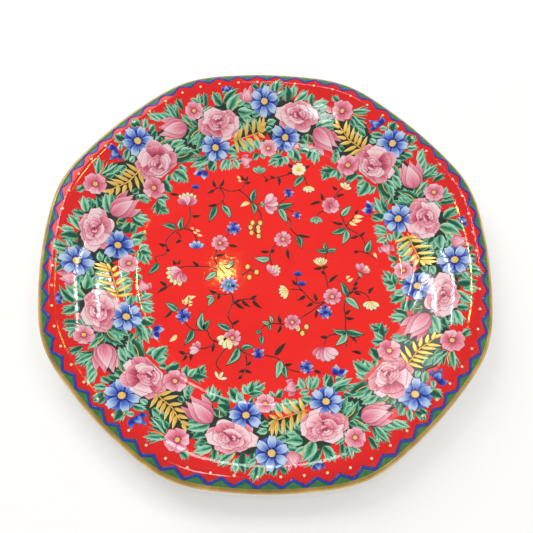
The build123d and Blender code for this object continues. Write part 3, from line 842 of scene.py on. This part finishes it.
# ------------------------------------------------------------------ wreath
for q in range(4):
    rot = (q - 3) * math.pi / 2
    W = {}

    def piece(kind):
        if kind not in W:
            W[kind] = Mesh("wreath_%d_%s" % (q, kind), "printed_flowers")
        return W[kind]

    RNG.seed(40)
    # dark ground that shows between the leaves
    th = np.linspace(math.radians(270), math.radians(360), 241)
    deg = np.degrees(th) - 270
    wob = 0.9 * np.sin(th * 37) + 0.7 * np.sin(th * 61 + 1) + 0.5 * np.sin(th * 97 + 2)
    inn = 73.3 + wob + 1.8 * np.exp(-((deg - 33) / 3.0) ** 2)
    out = 90.6 + 0.9 * np.sin(th * 43 + 0.5) + 0.8 * np.sin(th * 71)
    rr = inn[None] + (out - inn)[None] * np.linspace(0, 1, 26)[:, None]
    xy = np.stack([rr * np.cos(th)[None], rr * np.sin(th)[None]], -1)
    slab(piece("shade"), place(xy, rot), 0.02, M_DARK)
    for s, data in (("a", LEAVES_A), ("b", LEAVES_B)):
        for i, (p0, p1, w, hatched) in enumerate(data):
            b0, b1 = at(s, *p0), at(s, *p1)
            dd_ = b1 - b0
            for sgn in (-1, 1):
                for k, ln, an in ((0.06, 0.74, 27), (0.34, 0.56, 25)):
                    an = math.radians(an * sgn + RNG.uniform(-6, 6))
                    d2 = np.array([dd_[0] * math.cos(an) - dd_[1] * math.sin(an), dd_[0] * math.sin(an) + dd_[1] * math.cos(an)])
                    leaf(piece("leaflets_" + s), b0 + k * dd_, b0 + k * dd_ + ln * d2, w * 0.52, 0.028 + 0.004 * (i % 4) + 0.002 * (sgn > 0), M_LEAF, bend=-0.08 * sgn, rot=rot)
            leaf(piece("leaves_" + s), b0, b1, w * 0.92, 0.046 + 0.004 * (i % 5), M_LEAF, rot=rot)
        for pts in VEINS[s]:
            stroke(piece("gold_" + s), [at(s, *p) for p in pts], 0.55, 0.085, M_GOLD, rot, 0.5)
    P = lambda r, deg_: np.array([r * math.cos(math.radians(deg_)), r * math.sin(math.radians(deg_))])
    # blue flowers (angles are mod 90 within 270..360)
    for i, (r, t, size, n) in enumerate([(72.81, 352.28, 7.9, 10), (89.68, 360.78, 8.2, 12), (70.8, 291.79, 8.1, 12), (91.35, 315.45, 8.2, 12)]):
        bluet(piece("blue"), P(r, t), size, rot, n=n, seed=i + 3, h=0.072)
    # roses: (centre radius, angle, half sizes, tangential first)
    for i, (r, t, rx, ry, eye) in enumerate([(81.11, 287.7, 11.2, 8.9, (0.02, 0.2)), (78.99, 315.58, 11.2, 9.2, (0.0, -0.25)), (83.82, 349.07, 11.0, 8.0, (0.02, 0.12))]):
        turn = math.radians(t) - math.pi / 2
        rose(piece("roses"), P(r, t), rx, ry, turn, rot, eye=eye, seed=i + 11)
    tulip(piece("tulips"), at("a", 560, 400), [at("a", *p) for p in ((250, 395), (225, 350), (262, 295), (330, 252))], 9.0, rot)
    tulip(piece("tulips"), at("b", 630, 487), [at("b", *p) for p in ((1015, 505), (1010, 560), (1000, 620), (890, 672))], 8.0, rot)
    for i, (s, x, y, r) in enumerate([("a", 717, 293, 4.9), ("b", 865, 263, 5.7), ("b", 1265, 650, 5.6), ("b", 33, 718, 4.9)]):
        pinky(piece("pinks"), at(s, x, y), r, rot, seed=i + 21, h=0.078, phase=0.4 * i)
    tulip(piece("buds"), at("a", 1325, 318), [at("a", *p) for p in ((1418, 230), (1390, 172), (1330, 190), (1272, 225))], 6.2, rot, mat=M_PINK)
    tulip(piece("buds"), at("a", 1140, 838), [at("a", *p) for p in ((1262, 895), (1325, 818), (1270, 765))], 7.0, rot, mat=M_PINK)
    tulip(piece("buds"), at("a", 1130, 205), [at("a", *p) for p in ((1182, 150), (1135, 145), (1082, 152))], 3.4, rot, mat=M_CORN)
    leaf(piece("buds"), at("a", 1080, 218), at("a", 1140, 196), 2.2, 0.09, M_LEAF, rot=rot)
    tulip(piece("buds"), at("b", 1310, 238), [at("b", *p) for p in ((1225, 300), (1172, 240), (1255, 150))], 5.0, rot, mat=M_CORN)
    petal(piece("buds"), at("b", 1308, 235), math.atan2(*(at("b", 1290, 150) - at("b", 1308, 240))[::-1]), 0.2, 4.6, 3.2, 0.1, M_CORN, rot, tone=0.05)
    for cx, cy, dx, dy, w, tn in ((470, 800, 305, 775, 3.6, 0.85), (440, 800, 320, 800, 2.6, 0.05), (480, 795, 400, 875, 4.4, 0.7), (485, 800, 480, 872, 3.0, 0.2)):
        leaf(piece("buds"), at("a", cx, cy), at("a", dx, dy), w, 0.08 + 0.006 * (tn < 0.5), M_CORN, rot=rot, bend=0.0, tone=tn)
    for s in ("a", "b"):
        stem, lf = FERNS[s]
        stroke(piece("ferns"), [at(s, *p) for p in stem], 0.6, 0.128, M_GOLD, rot, 0.5)
        for x0, y0, x1, y1 in lf:
            leaf(piece("ferns"), at(s, x0, y0), at(s, x1, y1), 2.05, 0.133, M_GOLD, bend=0.0, rot=rot)
    for m in W.values():
        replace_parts(m.build(), WREATH[q])

# ------------------------------------------------------------------ sprigs in the field
RNG.seed(90)
FL = {}


def field(kind):
    if kind not in FL:
        FL[kind] = Mesh("field_" + kind, "printed_field")
    return FL[kind]


def half(x):
    return "left" if x < 600 else "right"


for v in VINES:
    stroke(field("vines_" + half(v[0][0])), [well(*p) for p in v], 0.62, 0.02, M_VINE, taper=0.75)
for x0, y0, x1, y1 in DARK_LEAVES:
    big = (x0, y0) == (635, 1040)
    leaf(field("darkleaves_" + half(x0)), well(x0, y0), well(x1, y1), 2.8 if big else 1.8, 0.03, M_VINE, bend=RNG.uniform(-0.1, 0.1))
for x0, y0, x1, y1 in GREEN_LEAVES:
    b = RNG.uniform(-0.12, 0.12)
    p, r = well(x0, y0), well(x1, y1)
    w = 0.36 * np.hypot(*(r - p)) + 0.5
    leaf(field("leafedge_" + half(x0)), p - 0.03 * (r - p), r + 0.08 * (r - p), w + 0.8, 0.028, M_VINE, bend=b)
    leaf(field("leaves_" + half(x0)), p, r, w, 0.042, M_SPRIG, bend=b)
for x0, y0, x1, y1 in YELLOW_LEAVES:
    leaf(field("yellow"), well(x0, y0), well(x1, y1), 0.42 * np.hypot(x1 - x0, y1 - y0) / 10 + 0.3, 0.05, M_YPET, tone=0.6)
for x, y in BERRIES:
    disc(field("yellow"), well(x, y), 1.25, 0.045, M_VINE, ell=1.25, n=9)
    disc(field("yellow"), well(x, y), 1.0, 0.055, M_YELL, ell=1.3, crown=0.01, n=9)
for x, y, r, n, sd in ((370, 472, 4.4, 7, 1), (680, 448, 4.4, 7, 2), (913, 748, 4.6, 7, 3), (718, 878, 4.1, 7, 4), (437, 957, 4.4, 7, 5)):
    pinky(field("pink"), well(x, y), r, 0.0, n=n, seed=sd, h=0.05, phase=sd * 0.7)
pinky(field("pink"), well(925, 258), 4.7, 0.0, n=5, seed=9, h=0.05, eye=0.12)
pinky(field("yellow"), well(767, 53), 3.9, 0.0, n=5, seed=8, h=0.05, mat=M_YPET)


def fan(kind, x, y, r, ang, spread, n, mat, h=0.05, tone=None, w=0.7):
    for i in range(n):
        a = math.radians(ang + 0.72 * spread * (i / (n - 1) - 0.5 if n > 1 else 0))
        petal(field(kind), well(x, y) - 0.75 * r * np.array([math.cos(math.radians(ang)), math.sin(math.radians(ang))]), a, 0.05, r * 1.75, r * w * 1.25, h + 0.006 * i, mat, 0.0, tone=tone, blunt=0.2, full=0.72, line=M_VINE if mat in (M_SPRIG, M_YPET, M_YELL) else (M_BLUELINE if mat is M_CORN else M_PINKLINE), lw=0.3)


fan("pink", 620, 252, 4.0, 0, 150, 5, M_PINK)
fan("yellow", 202, 230, 3.6, 90, 120, 5, M_YPET, 0.045, 0.5, 0.5)
fan("pink", 202, 244, 3.4, 90, 150, 5, M_PINK, 0.06)
fan("yellow", 158, 648, 4.0, 215, 150, 6, M_YPET, 0.045, 0.5, 0.5)
fan("pink", 172, 642, 3.4, 225, 170, 5, M_PINK, 0.06)
fan("pink", 628, 615, 2.6, 45, 150, 4, M_PINK)
fan("yellow", 650, 608, 1.7, 20, 120, 3, M_YPET, 0.045, 0.6)
fan("pink", 1068, 600, 2.6, 60, 150, 4, M_PINK)
fan("yellow", 1088, 606, 1.5, 10, 100, 3, M_YPET, 0.045, 0.6)
fan("pink", 268, 1007, 2.6, 150, 130, 4, M_PINK)
fan("pink", 870, 1030, 3.9, 270, 170, 6, M_PINK)
fan("yellow", 815, 165, 2.2, 270, 130, 4, M_YPET, 0.05, 0.75)
fan("yellow", 1005, 147, 2.1, 60, 150, 4, M_YPET, 0.05, 0.75)
fan("yellow", 862, 568, 2.6, 90, 130, 5, M_YPET, 0.05, 0.6, 0.55)
fan("yellow", 683, 725, 2.7, 195, 130, 5, M_YPET, 0.05, 0.6, 0.55)
fan("yellow", 1098, 790, 2.6, 270, 160, 5, M_YPET, 0.05, 0.7)
fan("yellow", 405, 975, 3.2, 230, 130, 4, M_YPET, 0.044, 0.7)
fan("yellow", 385, 1138, 2.2, 60, 150, 3, M_YPET, 0.05, 0.95, 0.5)
for x, y, r, n in ((712, 190, 2.9, 7), (752, 315, 2.4, 6), (437, 393, 3.9, 9), (205, 850, 4.0, 9), (558, 1030, 3.1, 7), (780, 1095, 3.5, 9), (877, 825, 3.7, 9)):
    for i in range(n):
        petal(field("blue"), well(x, y), i * 2 * math.pi / n + x, 0.1, r * RNG.uniform(0.9, 1.1), r * 0.55, 0.05 + 0.002 * (i % 3), M_CORN, 0.0, tone=0.05 + 0.35 * (i % 3), blunt=0.45, full=0.75)
    disc(field("blue"), well(x, y), r * 0.3, 0.062, M_CORN, tone=0.0, n=7)
for i in range(11):
    petal(field("blue"), well(418, 692), i * 2 * math.pi / 11, 0.1, 4.7, 2.1, 0.05 + 0.003 * (i % 2), M_CORN, 0.0, tone=0.55 + 0.3 * (i % 2), blunt=0.45, full=0.75)
disc(field("blue"), well(418, 692), 1.0, 0.066, M_SPRIG, n=7)
fan("blue", 255, 485, 2.5, 90, 150, 4, M_CORN, 0.05, 0.8)
for x, y in ((240, 163), (750, 632), (768, 683)):
    fan("blue", x, y, 1.6, 90, 120, 3, M_CORN, 0.05, 0.15)
for x, y, r, a in ((563, 60, 2.6, 90), (848, 340, 2.4, 270), (577, 257, 1.2, 0)):
    fan("leaves_left" if x < 600 else "leaves_right", x, y, r, a, 120, 3, M_SPRIG, 0.05, 0.7)
for m in FL.values():
    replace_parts(m.build(), "field_transfer")

# ------------------------------------------------------------------ lights seen in the glaze
# Far lamps along the directions of the highlights: azimuth and elevation in degrees.
def strip(name, az, el, dist, size, size_y, power, colour=(1.0, 1.0, 1.0)):
    a, e = math.radians(az), math.radians(el)
    v = Vector((math.cos(e) * math.cos(a), math.cos(e) * math.sin(a), math.sin(e)))
    li = bpy.data.lights.new(name, "AREA")
    li.shape = "RECTANGLE"
    li.size, li.size_y, li.energy, li.color = size, size_y, power, colour
    ob = bpy.data.objects.new(name, li)
    bpy.context.scene.collection.objects.link(ob)
    ob.location = v * dist
    ob.rotation_euler = v.to_track_quat("Z", "Y").to_euler()
    ob.visible_camera = False
    return ob


strip("window_back", 82.0, 53.6, 3.0, 0.50, 0.14, 2.6)
strip("lamp_above", -173.0, 86.0, 3.0, 0.30, 0.30, 3.4)
for _i, (_x, _y) in enumerate(((99, 284), (123, 284), (412, 280), (429, 280))):
    lamp("window_pane_%d" % _i, _x, _y, 0.60, 0.034, 2.3, far=3000.0).visible_camera = False
lamp("warm_lamp", 225, 272, 0.016, 0.016, 0.12, (1.0, 0.74, 0.16)).visible_camera = False
